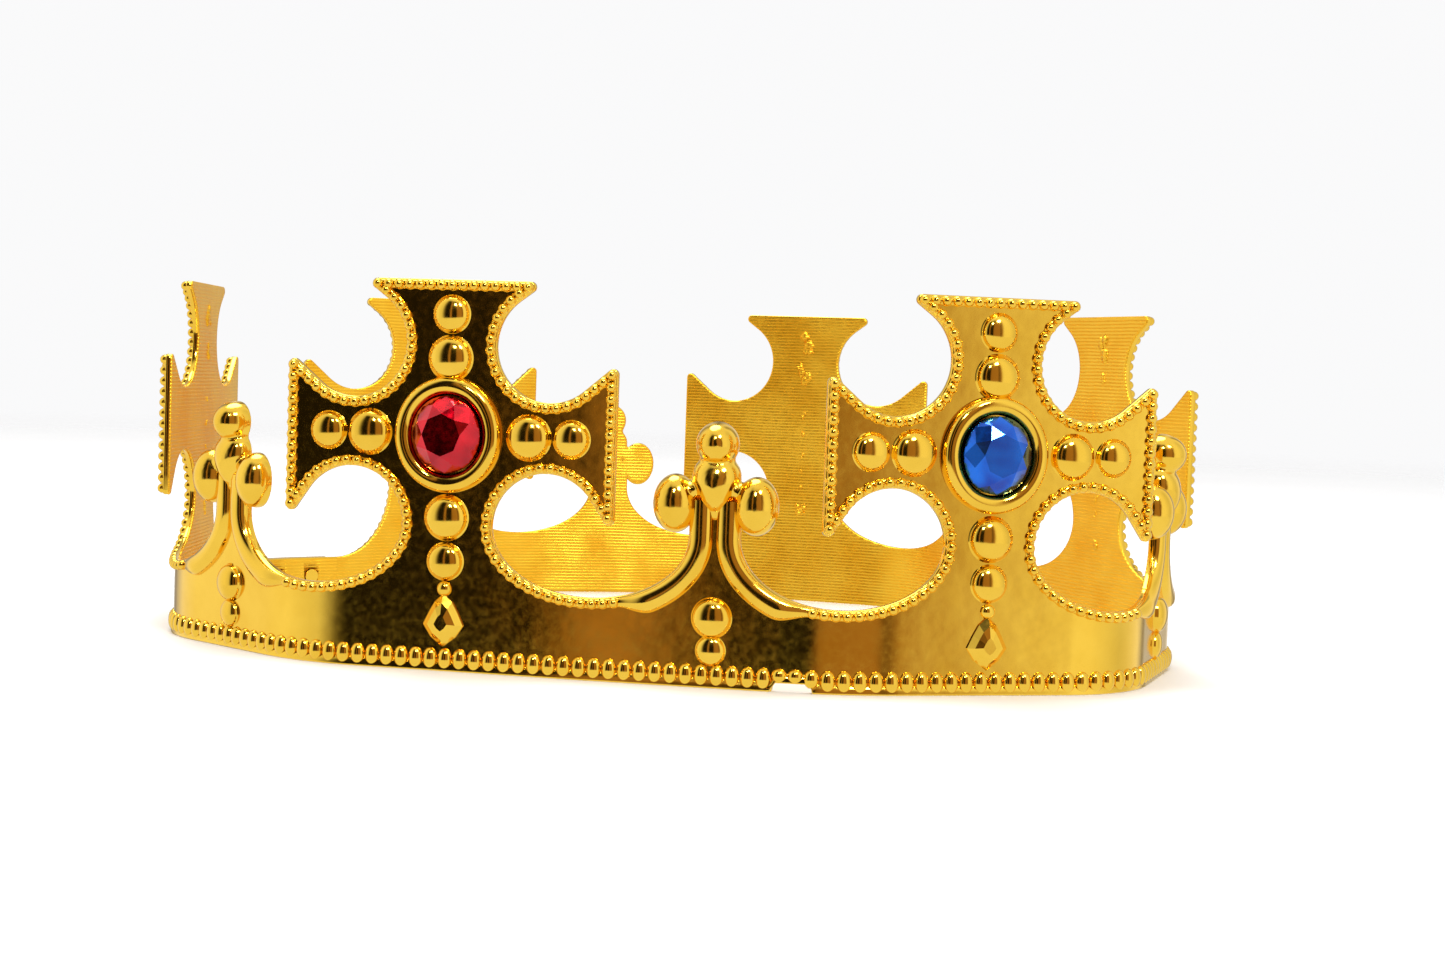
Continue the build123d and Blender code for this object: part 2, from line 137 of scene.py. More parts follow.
# Low ridge that carries the beads, as (sideways, up) shares of its half width and rise
RIDGE_SECTION = (
    (-1.0, -0.4), (-0.96, 0.15), (-0.8, 0.6), (-0.45, 0.92),
    (0.0, 1.0), (0.45, 0.92), (0.8, 0.6), (0.96, 0.15), (1.0, -0.4),
)
RIDGE = (0.75, 0.38)        # half width and rise under the beads
RIB = (2.05, 1.45)          # half width and rise of the smooth ribs beside a fleur
RIB_END = 16.5              # distance from a fleur's middle at which a rib has died away
RIB_TAPER = 5.0             # length over which it does so
BEADS_FROM = 15.0           # distance from a fleur's middle at which beads take over
STEM_TOP = 31.0             # a fleur's ribs run up to here, under its middle petal
# Puffs that melt together into a fleur's head: centre, radii, height and taper, first those on
# its middle line and then those of one side
MIDDLE_PUFFS = (
    ((0, 40.3), (3.6, 3.7), 5.3, 0.0), ((0, 37.4), (3.0, 2.6), 3.3, 0.0),
    ((0, 33.7), (3.9, 4.8), 4.6, 0.3), ((0, 29.6), (5.0, 1.9), 2.2, 0.0),
)
SIDE_PUFFS = (((6.8, 30.3), (3.7, 4.9), 4.7, 0.0), ((3.9, 32.6), (2.0, 1.6), 3.0, 0.0))
PUFF_WAIST = 0.9            # height at which a puff's upright sides give way to its dome
MELT_GRAIN = 0.2            # size of the cells in which puffs melt together
HEAD_BACK = 0.08            # faces of a head lower than this belong to its inner face
RIM_PITCH = 2.6
RIM_TOP = 3.95
RIM_LOBE = (1.28, 1.85, 1.0)    # half width, half height and rise
RIM_LOBE_SHRINK = 0.42      # loss of half height for each millimetre that the notch raises it
# Foot of the bottom rim, as height above the edge and distance out from the wall
RIM_FOOT = (
    (0.08, 0.0), (0.02, 0.3), (0.15, 0.5), (0.5, 0.53), (0.9, 0.42),
    (1.3, 0.22), (1.6, 0.0), (1.2, -0.2), (0.4, -0.2),
)
NOTCH_EASE = 0.5            # run over which the notch's ends rise
NOTCH_CARE = 0.8            # and distance from them within which points are set closer
DOME_FOOT = 0.16            # height of a stud's flared foot, as a share of its rise
DOME_NECK = (0.25, 0.1)     # flare left above the foot, and how high, as shares of flare and rise
COLLAR_INNER_GAP = 0.12
COLLAR_WIDTH = 3.2
COLLAR_RISE = 2.1
COLLAR_FULLNESS = 0.7       # below 1 the collar's section is fuller than round
BOSS_OUTLINE = (            # right side of the pendant boss, from its top to its point
    (0.0, 13.2), (1.5, 11.8), (2.5, 10.0), (3.5, 7.9), (2.1, 5.8), (0.0, 4.2),
)
BOSS_CENTRE = 8.2
BOSS_RISE = 1.8
BOSS_STEPS = ((1.0, -0.1), (1.0, 0.2), (0.7, 0.75), (0.32, 1.0))    # shares of outline and rise
BOSS_BEAD = (1.3, 1.0, 14.0)    # radius, rise and height of its middle
BAND_STUD = (3.2, 2.0, 11.6)
DROP_STUD = (2.4, 1.3, 6.2)
GLUE_EDGE = ((0.9, 0.0), (0.98, 0.08), (1.0, 0.15), (0.98, 0.22), (0.9, 0.3))
GEM_FACETS = 8
GEM_MIDDLE = (0.82, 0.58)   # facet corners between rim and table: shares of radii and of height
GEM_TABLE = 0.55
GEM_BEVEL = (0.96, 0.2)     # scale of the underside, and height of the bevel round it

LINE_PITCH = 0.00068        # tool lines on the inner face, in metres
LINE_DEPTH = 0.00004
LINE_WANDER = 0.0003
# Burrs on the inner face of a cross: height, spread and number
BURRS = (
    (59.8, 2.0, 7), (53.0, 1.7, 3), (43.2, 0.7, 2), (38.6, 0.8, 2), (33.6, 0.6, 2),
    (29.6, 0.7, 2), (26.6, 0.6, 2), (21.4, 1.5, 4),
)
LEAST_BURR = 0.3

OUTER, INNER = 0, 1         # material slots of a moulded piece

CAMERA_PLACE = (0.0134, -0.4125, 0.0512)
CAMERA_ANGLES = (0.55, 2.93, 2.05)          # turned left, looking down, leaning right
CAMERA_LENS = 51.5

# Light of the studio walls round the crown: degrees from the front towards +X, light, tint
STUDIO_WALLS = (
    (-180, 0.25, 0.95), (-165, 0.8, 1.0), (-148, 0.3, 0.95), (-125, 1.0, 1.0), (-80, 1.0, 1.0),
    (-58, 0.8, 1.0), (-46, 0.10, 0.9), (-41, 0.012, 0.8), (-27, 0.012, 0.8), (-25, 0.36, 0.55),
    (-21, 0.40, 0.55), (-19, 0.02, 0.8), (-3, 0.012, 0.8), (1, 0.34, 0.55), (24, 0.38, 0.56),
    (27, 0.16, 0.6), (30, 0.20, 0.6), (34, 0.42, 0.62), (38, 0.85, 0.95), (42, 1.0, 1.0),
    (60, 1.0, 1.0), (95, 0.75, 1.0), (125, 1.0, 1.0), (140, 0.3, 0.95), (160, 0.9, 1.0),
    (180, 0.25, 0.95),
)
# Where the walls give way to the light ceiling and table, as the upward or downward part of a
# direction. The table's own edge lies lower behind the crown.
CEILING_FROM = (0.74, 0.92)
TABLE_FROM = (0.17, 0.23)
TABLE_FROM_BEHIND = (0.42, 0.55)
BEHIND = (-0.1, 0.3)
CEILING_LIGHT = (0.95, 0.95, 0.95, 1)
TABLE_LIGHT = (0.92, 0.92, 0.92, 1)
BACKDROP = (0.955, 0.955, 0.96, 1)
LAMPS = (                   # name, place, aim, size and power
    ("key", (0.35, -0.8, 0.9), (0, 0, 0.03), 0.25, 6.0),
    ("spark", (-0.12, -0.9, 0.75), (0, 0, 0.03), 0.12, 3.0),
    ("top", (-0.2, 0.3, 1.3), (0, 0, 0), 0.9, 14.0),
)
FLOOR_RADIUS = 1.6
FLOOR_FADE_FROM = 0.25      # distance from the middle at which the floor begins to fade

# Tints of the finishes, as two stops of a cloudy noise
GOLD_OUTER = ((0.3, (0.90, 0.545, 0.05)), (0.7, (0.99, 0.635, 0.075)))
GOLD_INNER = ((0.3, (0.94, 0.50, 0.025)), (0.7, (1.0, 0.60, 0.045)))
RED_GEM = ((0.35, (0.40, 0.0, 0.008)), (0.65, (0.80, 0.004, 0.016)))
BLUE_GEM = ((0.35, (0.0, 0.05, 0.45)), (0.65, (0.0, 0.17, 0.85)))
GLUE = ((0.3, (0.72, 0.70, 0.62)), (0.7, (0.86, 0.85, 0.80)))
FLOOR = ((0.3, (0.80, 0.80, 0.80)), (0.7, (0.84, 0.84, 0.84)))


# ---- Plan line ----
def direction(heading):
    return Vector((math.cos(math.radians(heading)), math.sin(math.radians(heading)), 0))


def advance(start, heading, length, bend, run):
    """Point and heading after a run along one piece of the plan line."""
    if bend == 0:
        return start + direction(heading) * run, heading
    radius = length / math.radians(bend)
    turned = bend * run / length
    centre = start - direction(heading - 90) * radius
    return centre + direction(heading + turned - 90) * radius, heading + turned


class PlanLine:
    """The inner face of the wall seen from above, as straight stretches and arcs."""

    def __init__(self, start, heading, pieces):
        self.pieces = []
        at = 0.0
        for length, bend in pieces:
            self.pieces.append((at, length, bend, start, heading))
            start, heading = advance(start, heading, length, bend, length)
            at += length
        self.end = start
        self.end_heading = heading
        self.lead = 0.0
        self.shift = Vector((0, 0, 0))

    def at(self, s):
        s += self.lead
        for begin, length, bend, start, heading in self.pieces:
            if s < begin + length:
                break
        return advance(start, heading, length, bend, s - begin)

    def bent(self, s, z, t):
        """A point of the developed strip carried onto the bent wall, in metres."""
        point, heading = self.at(s)
        return (point + direction(heading - 90) * t + Vector((0, 0, z))) * MM + self.shift

    def flat(self, station):
        """Carries points onto the flat plate that touches the wall at one station."""
        point, heading = self.at(station)
        along = direction(heading)
        out = direction(heading - 90)

        def place(u, z, t):
            return (point + along * u + out * t + Vector((0, 0, z))) * MM + self.shift

        return place


def ring_pieces():
    bend_length = PITCH / 2 - CROSS_FLAT - FLEUR_FLAT
    pieces = [(CROSS_FLAT, 0)]
    for number, bend in enumerate(BENDS):
        pieces.append((bend_length, bend))
        flat = FLEUR_FLAT if number % 2 == 0 else CROSS_FLAT
        last = number == len(BENDS) - 1
        pieces.append((flat if last else 2 * flat, 0))
    return pieces


def closure_pieces(ring):
    """Straight, bend, straight: from the last cross round to the first one again."""
    bend = 360 + FIRST_HEADING - ring.end_heading
    along = direction(ring.end_heading)
    back = -direction(FIRST_HEADING)
    gap = -ring.end
    reach = (gap.x * back.y - gap.y * back.x) / (along.x * back.y - along.y * back.x)
    meeting = ring.end + along * reach
    radius = CLOSURE_ARC_RUN / math.tan(math.radians(bend / 2))
    return [
        (reach - CLOSURE_ARC_RUN, 0),
        (radius * math.radians(bend), bend),
        (meeting.length - CLOSURE_ARC_RUN, 0),
    ]


def whole_line():
    """The closed plan line, counted from the first cross and moved to where the CAD has it."""
    ring = PlanLine(Vector((0, 0, 0)), FIRST_HEADING, ring_pieces())
    closure = closure_pieces(ring)
    line = PlanLine(ring.end, ring.end_heading, closure + ring_pieces() + closure)
    line.lead = sum(length for length, _ in closure)
    low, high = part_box("adhesive_left")
    expected = line.flat(0)(0, CROSS_MID, WALL + GLUE_THICKNESS / 2)
    line.shift = (low + high) / 2 - expected
    return line


# ---- Outlines on the developed strip ----
def arc(centre, radii, start, end, step=STEP):
    """Points of an arc of an ellipse between two angles in degrees."""
    count = max(2, round(max(radii) * abs(math.radians(end - start)) / step))
    points = []
    for n in range(count + 1):
        angle = math.radians(start + (end - start) * n / count)
        across = radii[0] * math.cos(angle)
        points.append((centre[0] + across, centre[1] + radii[1] * math.sin(angle)))
    return points


def oval(centre, radii, scale, height, segments, turned=0):
    """Points all round an ellipse at one height above the inner face."""
    points = []
    for n in range(segments):
        angle = 2 * math.pi * (n + turned) / segments
        across = radii[0] * scale * math.cos(angle)
        up = radii[1] * scale * math.sin(angle)
        points.append((centre[0] + across, centre[1] + up, height))
    return points


def part_way(start, end, share):
    return (start[0] + (end[0] - start[0]) * share, start[1] + (end[1] - start[1]) * share)


def straight(start, end, step):
    """Points from one point to the next, both included."""
    count = max(1, round(math.dist(start, end) / step))
    return [part_way(start, end, n / count) for n in range(count + 1)]


def joined(*runs):
    """One path from several runs, without doubled points."""
    path = []
    for run in runs:
        for point in run:
            if not path or math.dist(path[-1], point) > SAME_PLACE:
                path.append(point)
    return path


def turn(before, at, after):
    """Left turn of a path at a point, in degrees."""
    first = math.atan2(at[1] - before[1], at[0] - before[0])
    second = math.atan2(after[1] - at[1], after[0] - at[0])
    return math.degrees((second - first + math.pi) % (2 * math.pi) - math.pi)


def inset_vectors(path, level_ends=True):
    """For each point, the step that moves the path 1 mm to its left.

    With level ends, the first and last points slide along the horizontal.
    """
    normals = []
    for start, end in zip(path, path[1:]):
        length = math.dist(start, end)
        normals.append(Vector((-(end[1] - start[1]) / length, (end[0] - start[0]) / length)))
    vectors = []
    for number in range(len(path)):
        before = normals[max(number - 1, 0)]
        after = normals[min(number, len(normals) - 1)]
        at_end = number in (0, len(path) - 1)
        if at_end and level_ends:
            vectors.append(Vector((1 / before.x if number else 1 / after.x, 0)))
        else:
            vectors.append((before + after) / (1 + before.dot(after)))
    return vectors


def ridge_vectors(path, joints):
    """Inset steps for a ridge that carries on past the headband's top.

    joints gives, for each end of the path, the centre and radii of the loop that it lies on, or
    None. Both pieces that meet there then share one section square to the loop.
    """
    vectors = inset_vectors(path, level_ends=False)
    for end, loop in zip((0, -1), joints):
        if loop is None:
            continue
        centre, radii = loop
        point = path[end]
        across, up = (point[0] - centre[0]) / radii[0] ** 2, (point[1] - centre[1]) / radii[1] ** 2
        normal = Vector((across, up)).normalized()
        vectors[end] = normal if normal.dot(vectors[end]) > 0 else -normal
    return vectors


def inset(path, vectors, distance):
    return [(p[0] + v.x * distance, p[1] + v.y * distance) for p, v in zip(path, vectors)]


def inset_edge(path, vectors, distance, steps=8):
    """The path moved in by a distance, its sharp corners rounded about the plate's own centres."""
    moved = inset(path, vectors, distance)
    radius = max(CORNER_RADIUS - distance, LEAST_RADIUS)
    result = [moved[0]]
    for number in range(1, len(path) - 1):
        before, at, after = path[number - 1:number + 2]
        angle = turn(before, at, after)
        if abs(angle) < SHARP_ANGLE:
            result.append(moved[number])
            continue
        back = (Vector(before) - Vector(at)).normalized()
        on = (Vector(after) - Vector(at)).normalized()
        half_corner = math.radians(180 - abs(angle)) / 2
        centre = Vector(moved[number]) + (back + on).normalized() * radius / math.sin(half_corner)
        first = Vector(moved[number]) + back * radius / math.tan(half_corner) - centre
        for n in range(steps + 1):
            turned = Matrix.Rotation(math.radians(angle * n / steps), 2)
            result.append(tuple(centre + turned @ first))
    result.append(moved[-1])
    return result


def tangent_angle(corner, centre, side):
    """Angle, in degrees, at which a flare from a corner touches a round bay."""
    dx = corner[0] - centre[0]
    dz = corner[1] - centre[1]
    return math.degrees(math.atan2(dz, dx) + side * math.acos(BAY_RADIUS / math.hypot(dx, dz)))


def curve_flank(curve):
    """Edge of a plate along a curve, from the headband up to the curve's widest line."""
    centre, radii = curve
    start = math.degrees(math.asin((BAND_TOP - centre[1]) / radii[1]))
    return arc(centre, radii, 180 - start, 180)


def loop_curve(u):
    """Centre and radii of a loop, for a plate whose middle line lies u away."""
    return (u, LOOP_MID), (LOOP_HALF_WIDTH, LOOP_DEPTH)


def closure_curve(u):
    """Centre and radii of the falling edge beside the closure."""
    return (u, LOOP_MID), (CLOSURE_CURVE_HALF_WIDTH, LOOP_MID - STRAP_TOP)


def two_sided(right, left):
    """A path up the right side and down the left side, which is drawn on the right too."""
    return joined(right, [(-u, z) for u, z in reversed(left)])


def cross_half(curve):
    """Free edge of a cross's right side, from its foot to the middle of its top."""
    low_bay = (BAY_U, LOOP_MID)
    high_bay = (BAY_U, CROSS_MID + BAY_Z)
    radii = (BAY_RADIUS, BAY_RADIUS)
    arm_low = (ARM_REACH, CROSS_MID - ARM_DROP)
    arm_high = (ARM_REACH, CROSS_MID + ARM_RISE)
    top = (TOP_HALF, CROSS_TOP)
    low_bay_arc = arc(low_bay, radii, 180, tangent_angle(arm_low, low_bay, 1))
    high_start = tangent_angle(arm_high, high_bay, -1)
    high_bay_arc = arc(high_bay, radii, high_start, tangent_angle(top, high_bay, 1) - 360)
    return joined(curve_flank(curve), low_bay_arc, [arm_low, arm_high], high_bay_arc, [top])


def stations(path, pitch):
    """Evenly spaced points on a path, with one at each sharp corner and half a step at the ends."""
    corners = [0]
    for number in range(1, len(path) - 1):
        if abs(turn(*path[number - 1:number + 2])) > SHARP_ANGLE:
            corners.append(number)
    corners.append(len(path) - 1)
    result = []
    for first, last in zip(corners, corners[1:]):
        run = path[first:last + 1]
        length = sum(math.dist(a, b) for a, b in zip(run, run[1:]))
        begin = pitch / 2 if first == 0 else 0.0
        end = length - pitch / 2 if last == len(path) - 1 else length
        count = max(1, round((end - begin) / pitch))
        gaps = [begin + (end - begin) * n / count for n in range(count + 1)]
        if last != len(path) - 1:
            gaps.pop()
        result += [point_at(run, gap) for gap in gaps]
    return result


def point_at(path, distance):
    for start, end in zip(path, path[1:]):
        length = math.dist(start, end)
        if distance <= length:
            break
        distance -= length
    return part_way(start, end, min(distance / length, 1.0))


# ---- Mesh work ----
class Skin:
    """A mesh drawn on the developed strip and carried onto the wall point by point."""

    def __init__(self, place):
        self.place = place
        self.mesh = bmesh.new()

    def vertex(self, point):
        return self.mesh.verts.new(self.place(*point))

    def face(self, vertices, finish=OUTER, smooth=True):
        distinct = list(dict.fromkeys(vertices))
        if len(distinct) < 3:
            return
        face = self.mesh.faces.new(distinct)
        face.material_index = finish
        face.smooth = smooth

    def rows(self, rows, wrap_rows=False, wrap_along=False, finishes=None, smooth=True):
        """Quads between neighbouring rows of points. Returns the rows as vertices."""
        grid = [[self.vertex(point) for point in row] for row in rows]
        count = len(grid)
        for n in range(count if wrap_rows else count - 1):
            low = grid[n]
            high = grid[(n + 1) % count]
            finish = finishes[n] if finishes else OUTER
            length = len(low)
            for m in range(length if wrap_along else length - 1):
                k = (m + 1) % length
                self.face((low[m], low[k], high[k], high[m]), finish, smooth)
        return grid

    def bar(self, rows, finishes=None):
        """A solid drawn as rows along it, all round its section, closed at both ends."""
        grid = self.rows(rows, wrap_rows=True, finishes=finishes)
        self.face([row[0] for row in grid])
        self.face([row[-1] for row in grid])

    def button(self, rows, top, finish=OUTER):
        """A solid drawn as rows round it, from its flat foot to a fan about its top point."""
        grid = self.rows(rows, wrap_along=True, finishes=[finish] * len(rows))
        self.face(grid[0], finish)
        pole = self.vertex(top)
        last = grid[-1]
        for m, corner in enumerate(last):
            self.face((corner, last[(m + 1) % len(last)], pole), finish)

    def slab(self, rows, smooth=True):
        """A solid drawn as rows round it, flat at both ends."""
        grid = self.rows(rows, wrap_along=True, smooth=smooth)
        self.face(grid[0], smooth=smooth)
        self.face(grid[-1], smooth=smooth)

    def sweep(self, path, vectors, sizes):
        """A rounded ridge along a path. Sizes hold its half width, rise and inset at each point."""
        rows = []
        for side, up in RIDGE_SECTION:
            row = []
            for point, vector, (half_width, rise, middle) in zip(path, vectors, sizes):
                distance = middle + side * half_width
                across, height = point[0] + vector.x * distance, point[1] + vector.y * distance
                row.append((across, height, WALL + up * rise))
            rows.append(row)
        self.bar(rows)

    def dome(self, u, z, radii, rise, base=WALL, segments=12, rings=4, flare=0.0, sink=0.12):
        """A closed rounded button standing on the sheet at height base."""
        foot = DOME_FOOT * rise if flare else 0.0
        profile = [(1.0 + flare, -sink)]
        if flare:
            profile.append((1.0 + flare, 0.0))
            profile.append((1.0 + flare * DOME_NECK[0], DOME_NECK[1] * rise))
        for n in range(rings):
            angle = math.pi / 2 * n / rings
            profile.append((math.cos(angle), foot + math.sin(angle) * (rise - foot)))
        rows = [oval((u, z), radii, scale, base + height, segments) for scale, height in profile]
        self.button(rows, (u, z, base + rise))

    def object(self, name, materials):
        """The finished mesh object, with consistent normals and crisp corners."""
        mesh = self.mesh
        bmesh.ops.remove_doubles(mesh, verts=mesh.verts, dist=2e-7)
        bmesh.ops.dissolve_degenerate(mesh, edges=mesh.edges, dist=1e-7)
        bmesh.ops.recalc_face_normals(mesh, faces=mesh.faces)
        for edge in mesh.edges:
            if len(edge.link_faces) == 2 and math.degrees(edge.calc_face_angle(0)) > SHARP_ANGLE:
                edge.smooth = False
        data = bpy.data.meshes.new(name)
        mesh.to_mesh(data)
        mesh.free()
        for material in materials:
            data.materials.append(material)
        return linked(name, data)


def linked(name, data):
    """A new object in the scene."""
    result = bpy.data.objects.new(name, data)
    bpy.context.scene.collection.objects.link(result)
    return result


def plate(skin, path, vectors, moved_in=inset):
    """The flat sheet inside a free edge, closed across its foot, with rounded edges."""
    rows = []
    for distance, height in SHEET_EDGE:
        rows.append([(u, z, height) for u, z in moved_in(path, vectors, distance)])
    finishes = [INNER] * 3 + [OUTER] * (len(rows) - 4)
    grid = skin.rows(rows, wrap_along=True, finishes=finishes)
    skin.face(list(reversed(grid[0])), INNER)
    skin.face(grid[-1])


def beads(skin, path, wanted=lambda u: True):
    """Beads on the ridge along a path, wherever they are wanted."""
    for u, z in stations(path, BEAD_PITCH):
        if wanted(u):
            skin.dome(u, z, (BEAD_RADIUS, BEAD_RADIUS), BEAD_RISE, WALL + RIDGE[1] * 0.5, sink=0.3)


def stud(skin, u, z, size, flare=0.1):
    skin.dome(u, z, (size[0], size[0]), size[1], segments=40, rings=10, flare=flare)


def gem_collar(skin, steps=16, segments=80, sink=0.1, least=0.02):
    """Wide smooth collar round a gem: a swollen oval ring."""
    profile = [(0.0, -sink)]
    for n in range(steps + 1):
        angle = math.pi * n / steps
        up = max(least, math.sin(angle) ** COLLAR_FULLNESS)
        profile.append((0.5 - 0.5 * math.cos(angle), up))
    profile.append((1.0, -sink))
    rows = []
    for across, up in profile:
        out = COLLAR_INNER_GAP + across * COLLAR_WIDTH
        radii = (GEM_RADII[0] + out, GEM_RADII[1] + out)
        rows.append(oval((0, CROSS_MID), radii, 1, WALL + up * COLLAR_RISE, segments))
    skin.rows(rows, wrap_rows=True, wrap_along=True)


def burrs(skin, seed):
    """Burrs and sink marks on a cross's inner face, behind the thick spots of its relief."""
    draw = random.Random(seed)
    for height, spread, count in BURRS:
        for _ in range(count):
            radius = max(LEAST_BURR, spread * draw.uniform(0.3, 0.6))
            u = draw.uniform(-0.6, 0.6) * spread
            z = height + draw.uniform(-1.0, 1.0) * spread
            burr(skin, u, z, radius, draw)


def burr(skin, u, z, radius, draw, segments=13):
    """A low, irregular burr on the inner face."""
    wobble = [draw.uniform(0.6, 1.3) for _ in range(segments)]
    stretch = draw.uniform(0.7, 1.6)
    swell = 0.1 + 0.28 * radius
    rows = []
    for scale, depth in ((1.0, 0.05), (0.9, -0.25 * swell), (0.6, -0.8 * swell)):
        row = []
        for m in range(segments):
            angle = 2 * math.pi * m / segments
            reach = radius * scale * wobble[m]
            row.append((u + reach * math.cos(angle), z + reach * stretch * math.sin(angle), depth))
        rows.append(row)
    skin.button(rows, (u + draw.uniform(-0.3, 0.3) * radius, z, -swell), INNER)


def cross_piece(line, number, name, materials):
    skin = Skin(line.flat(number * PITCH))
    right = closure_curve(CLOSURE_CURVE_U) if number == len(CROSS_NAMES) - 1 else loop_curve(LOOP_U)
    left = closure_curve(CLOSURE_CURVE_U) if number == 0 else loop_curve(LOOP_U)
    outline = two_sided(cross_half(right), cross_half(left))
    plate(skin, outline, inset_vectors(outline), inset_edge)
    (left_u, left_z), left_radii = left
    vectors = ridge_vectors(outline, (right, ((-left_u, left_z), left_radii)))
    rows = []
    for side, up in RIDGE_SECTION:
        edge = inset_edge(outline, vectors, BEAD_INSET + side * RIDGE[0])
        rows.append([(u, z, WALL + up * RIDGE[1]) for u, z in edge])
    skin.bar(rows)
    beads(skin, inset(outline, vectors, BEAD_INSET))
    gem_collar(skin)
    ways = ((-1, 0, STUD_STEPS), (1, 0, STUD_STEPS), (0, 1, TOP_STUD_STEPS), (0, -1, STUD_STEPS))
    for across, up, steps in ways:
        for step, size in zip(steps, (LARGE_STUD, SMALL_STUD)):
            stud(skin, across * step, CROSS_MID + up * step, size)
    burrs(skin, number)
    return skin.object(name, materials)


def stem_outline():
    """Free edge of a fleur's stem, up its right side to the collar and down its left side."""
    flank = curve_flank(loop_curve(PITCH / 2 - LOOP_U))
    neck = flank[-1][0]
    return flank + straight((neck, LOOP_MID), (neck, STEM_TOP), STEM_STEP)[1:]


def puff(skin, centre, radii, height, taper, segments=36, rings=8):
    """A pebble: flat inner face, short sides and a domed front. Taper narrows its lower end."""
    profile = [(0.5, 0.0), (0.2, 0.04), (0.0, 0.25), (0.0, PUFF_WAIST)]
    for n in range(1, rings):
        angle = math.pi / 2 * n / rings
        shrink = (1 - math.cos(angle)) * min(radii)
        profile.append((shrink, PUFF_WAIST + (height - PUFF_WAIST) * math.sin(angle)))
    rows = []
    for distance, level in profile:
        share = 1 - distance / min(radii)
        row = []
        for m in range(segments):
            turned = 2 * math.pi * m / segments
            wide = radii[0] * share * (1 + taper * math.sin(turned))
            up = radii[1] * share * math.sin(turned)
            row.append((centre[0] + wide * math.cos(turned), centre[1] + up, level))
        rows.append(row)
    skin.button(rows, (*centre, height))


def fleur_head(line, number, name, materials):
    """Bulb, petals and curls, melted together as one soft moulded form."""
    skin = Skin(line.flat((number + 0.5) * PITCH))
    for centre, radii, height, taper in MIDDLE_PUFFS:
        puff(skin, centre, radii, height, taper)
    for side in (-1, 1):
        for (u, z), radii, height, taper in SIDE_PUFFS:
            puff(skin, (side * u, z), radii, height, taper)
    head = skin.object(name, materials)
    melt = head.modifiers.new("melt", "REMESH")
    melt.mode = "VOXEL"
    melt.voxel_size = MELT_GRAIN * MM
    melt.use_smooth_shade = True
    smooth = head.modifiers.new("smooth", "SMOOTH")
    smooth.factor = 0.5
    smooth.iterations = 8
    return applied(head)


def applied(thing):
    """The object with its modifiers made part of its mesh."""
    depsgraph = bpy.context.evaluated_depsgraph_get()
    data = bpy.data.meshes.new_from_object(thing.evaluated_get(depsgraph))
    thing.modifiers.clear()
    old = thing.data
    thing.data = data
    bpy.data.meshes.remove(old)
    return thing


def joined_objects(name, *things):
    """One object from several."""
    mesh = bmesh.new()
    for thing in things:
        mesh.from_mesh(thing.data)
    mesh.to_mesh(things[0].data)
    mesh.free()
    for thing in things[1:]:
        bpy.data.objects.remove(thing)
    things[0].name = name
    return things[0]


def fleur_piece(line, number, name, materials):
    head = fleur_head(line, number, name + "_head", materials)
    place = line.flat((number + 0.5) * PITCH)
    origin = place(0, 0, 0)
    out = (place(0, 0, 1) - origin) / MM
    for polygon in head.data.polygons:
        behind = (polygon.center - origin).dot(out) < HEAD_BACK * MM
        polygon.material_index = INNER if behind else OUTER
    skin = Skin(place)
    side_path = stem_outline()
    edge = two_sided(side_path, side_path)
    plate(skin, edge, inset_vectors(edge))
    for side in (1, -1):
        path = [(side * u, z) for u, z in side_path]
        joints = [loop_curve(side * (PITCH / 2 - LOOP_U)), None]
        if side < 0:
            path.reverse()
            joints.reverse()
        skin.sweep(path, ridge_vectors(path, joints), [(*RIB, RIB[0])] * len(path))
    stem = skin.object(name + "_stem", materials)
    return joined_objects(name, stem, head)


# ---- Headband ----
def curve_path(curve, side=0):
    """Edge along a curve below the headband's top, from left to right.

    Beside the closure it ends at the strap: side is -1 at the near end of the strip, +1 at the far.
    """
    centre, radii = curve
    start = math.degrees(math.asin((LOOP_MID - BAND_TOP) / radii[1]))
    first = 270 if side < 0 else 180 + start
    last = 270 if side > 0 else 360 - start
    return arc(centre, radii, first, last)


def loop_centres():
    centres = []
    for number in range(len(BENDS)):
        side = 1 if number % 2 == 0 else -1
        centres.append((number + 1) // 2 * PITCH + side * LOOP_U)
    return centres


def top_path():
    """Upper edge of the headband from one end of the strip to the other."""
    paths = [curve_path(loop_curve(u)) for u in loop_centres()]
    paths.append(curve_path(closure_curve(CLOSURE_CURVE_AT), 1))
    runs = [curve_path(closure_curve(-CLOSURE_CURVE_U), -1)]
    for path in paths:
        runs.append(straight(runs[-1][-1], path[0], FOOT_STEP))
        runs.append(path)
    return joined(*runs)


def top_vectors(path):
    """Inset steps of the upper edge: feet stay level, and points beside them slide along."""

    def level(first, second):
        return max(abs(first[1] - BAND_TOP), abs(second[1] - BAND_TOP)) < LEVEL

    vectors = []
    down = inset_vectors([(-u, z) for u, z in path], level_ends=False)
    for number, point in enumerate(path):
        before = path[max(number - 1, 0)]
        after = path[min(number + 1, len(path) - 1)]
        level_before = number > 0 and level(before, point)
        level_after = number < len(path) - 1 and level(point, after)
        if level_before and level_after:
            vectors.append(Vector((0, 0)))
        elif level_before or level_after:
            a, b = (point, after) if level_before else (before, point)
            vectors.append(Vector((math.dist(a, b) / (b[1] - a[1]), 0)))
        else:
            vectors.append(Vector((-down[number].x, down[number].y)))
    return vectors


def notch_height(s):
    """Height of the bottom edge: it rises in the moulding notch beside the front fleur."""
    into = NOTCH_HALF_WIDTH + NOTCH_EASE / 2 - abs(s - NOTCH_MID)
    return NOTCH_DEPTH * smoothstep(into / NOTCH_EASE)


